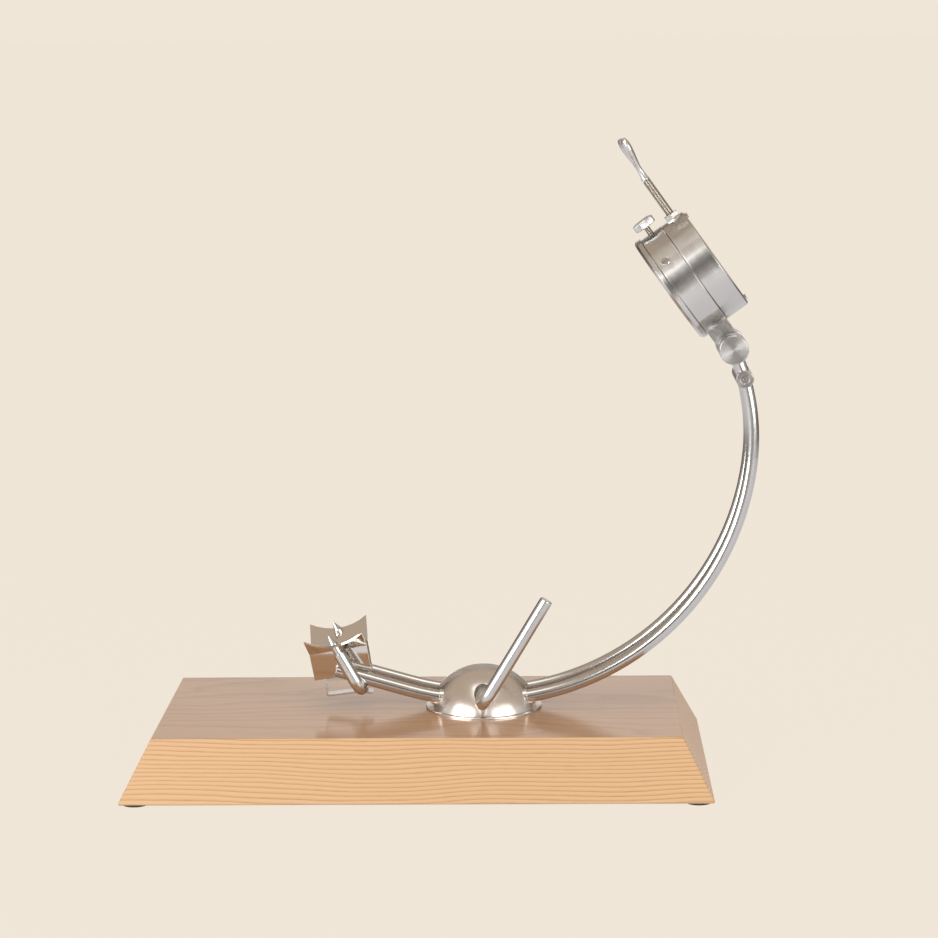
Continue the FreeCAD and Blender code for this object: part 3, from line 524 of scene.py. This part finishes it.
def lock_head():
    """Knurled thumb head with a dished top."""
    verts = []
    for index, (radius, height) in enumerate(KNURLED_OUTLINE):
        depth = KNURL_DEPTH if index in KNURLED_RINGS else 0.0
        for turn in turns(KNURL_COLUMNS):
            cut = radius - depth * (0.5 + 0.5 * math.cos(turn * KNURLS))
            verts.append(Vector((cut * math.cos(turn), cut * math.sin(turn), height)))
    shape = verts, ring_faces(len(KNURLED_OUTLINE), KNURL_COLUMNS)
    piece = new_piece("lock_screw_knurled_head", shape, cast, "lock_screw", "turned_steel",
                      "lock_screw_head")
    smooth(piece, KNURL_CREASE)


def wing_handle():
    """Cast wing handle: a neck that swells into two rounded lobes, leaning off the screw's axis."""
    twist = Matrix.Rotation(HANDLE_TWIST, 3, "Z")
    lean = Matrix.Rotation(HANDLE_LEAN, 3, "Y")
    foot = Vector((0, 0, HANDLE_NECK[0][0]))
    on_screw = Vector((CLAMP_X, 0, 0))
    verts = []
    faces = []
    for side, sections in ((0, HANDLE_NECK), (-1, HANDLE_LOBE), (1, HANDLE_LOBE)):
        for face in ring_faces(len(sections), HANDLE_COLUMNS):
            faces.append(tuple(index + len(verts) for index in face))
        for height, shift, wide, thick in sections:
            for turn in turns(HANDLE_COLUMNS):
                point = Vector((thick * math.cos(turn), side * shift + wide * math.sin(turn),
                                height))
                verts.append(lean @ (twist @ point - foot) + foot + on_screw)
    piece = new_piece("wing_handle_cast", (verts, faces), cast, "clamp_screw", "polished_steel",
                      "wing_handle")
    remesh = piece.modifiers.new("join", "REMESH")
    remesh.mode = "VOXEL"
    remesh.voxel_size = HANDLE_VOXEL
    remesh.use_smooth_shade = True
    relax = piece.modifiers.new("relax", "SMOOTH")
    relax.iterations = HANDLE_RELAXED
    relax.factor = 0.5


cast = steel("cast_handle", MIRROR, 0.3)
threaded = steel("bright_thread", DULL, 0.2)
screw_thread("clamp_screw_thread", CLAMP_THREAD, "clamp_screw", "clamp_screw_rod")
screw_thread("lock_screw_thread", LOCK_THREAD, "lock_screw", "lock_screw_stem")
lock_head()
wing_handle()


# Studio

def make_floor():
    """Floor that looks like the backdrop to the camera; to all other rays it glows, a painted pool
    of light round the stand that dims further off.
    """
    half = FLOOR_HALF
    mesh = bpy.data.meshes.new("floor")
    mesh.from_pydata([(-half, -half, 0), (half, -half, 0), (half, half, 0), (-half, half, 0)], [],
                     [(0, 1, 2, 3)])
    floor = bpy.data.objects.new("floor", mesh)
    bpy.context.scene.collection.objects.link(floor)
    graph = Surface("pale_floor")
    seen = graph.seen()
    # Painted pool of light: the floor glows brighter round the stand for all rays but the camera's
    glow_pool = graph.span(graph.value("LENGTH", graph.place), *GLOW_POOL_EDGE, 1.0, 0.0)
    off_camera_glow = graph.mix(glow_pool, FAR_GLOW, POOL_GLOW)
    graph.shade("Base Color", graph.mix(seen, BOUNCE_FLOOR, SEEN_FLOOR))
    graph.shade("Roughness", 0.9)
    graph.shade("Specular IOR Level", 0.0)
    graph.shade("Emission Color", graph.mix(seen, off_camera_glow, CREAM))
    graph.shade("Emission Strength", graph.span(seen, 0.0, 1.0, 1.0, FLOOR_GLOW))
    mesh.materials.append(graph.material)


def make_world():
    """Cream backdrop for the camera; for reflections a dim studio with a pale wall at the back."""
    world = bpy.data.worlds.new("studio")
    bpy.context.scene.world = world
    graph = Graph(world)
    parts = graph.parts(graph.coordinates("Generated"))
    walls = graph.ramp(graph.span(parts[1], -1.0, 1.0, 0.0, 1.0), WALLS_FRONT_TO_BACK)
    room = graph.mix(graph.ramp(parts[2], CEILING_BLEND), walls, CEILING)
    studio = graph.add("ShaderNodeBackground", {"Color": room}).outputs[0]
    backdrop = graph.add("ShaderNodeBackground", {"Color": CREAM}).outputs[0]
    both = graph.add("ShaderNodeMixShader", {0: graph.seen(), 1: studio, 2: backdrop}).outputs[0]
    graph.add("ShaderNodeOutputWorld", {"Surface": both})


def softbox(name, azimuth, elevation, distance, width, height, power):
    """Area light aimed at the stand."""
    turn = math.radians(azimuth)
    rise = math.radians(elevation)
    direction = Vector((math.sin(turn) * math.cos(rise), -math.cos(turn) * math.cos(rise),
                        math.sin(rise)))
    light = bpy.data.lights.new(name, "AREA")
    light.shape = "RECTANGLE"
    light.size = width
    light.size_y = height
    light.energy = power
    lamp = bpy.data.objects.new(name, light)
    lamp.location = AIM + direction * distance
    lamp.rotation_mode = "QUATERNION"
    lamp.rotation_quaternion = (-direction).to_track_quat("-Z", "Y")
    bpy.context.scene.collection.objects.link(lamp)


def make_camera():
    forward = Vector((-math.sin(CAMERA_YAW) * math.cos(CAMERA_PITCH),
                      math.cos(CAMERA_YAW) * math.cos(CAMERA_PITCH), -math.sin(CAMERA_PITCH)))
    level = Vector((math.cos(CAMERA_YAW), math.sin(CAMERA_YAW), 0))
    upright = level.cross(forward)
    right = level * math.cos(CAMERA_ROLL) + upright * math.sin(CAMERA_ROLL)
    up = upright * math.cos(CAMERA_ROLL) - level * math.sin(CAMERA_ROLL)
    data = bpy.data.cameras.new("camera")
    data.lens = CAMERA_LENS
    data.sensor_width = SENSOR_WIDTH
    camera = bpy.data.objects.new("camera", data)
    camera.matrix_world = matrix_of(right, up, -forward, CAMERA_PLACE)
    bpy.context.scene.collection.objects.link(camera)
    bpy.context.scene.camera = camera


make_floor()
make_world()
for settings in SOFTBOXES:
    softbox(*settings)
make_camera()
bpy.context.scene.view_settings.view_transform = "Standard"
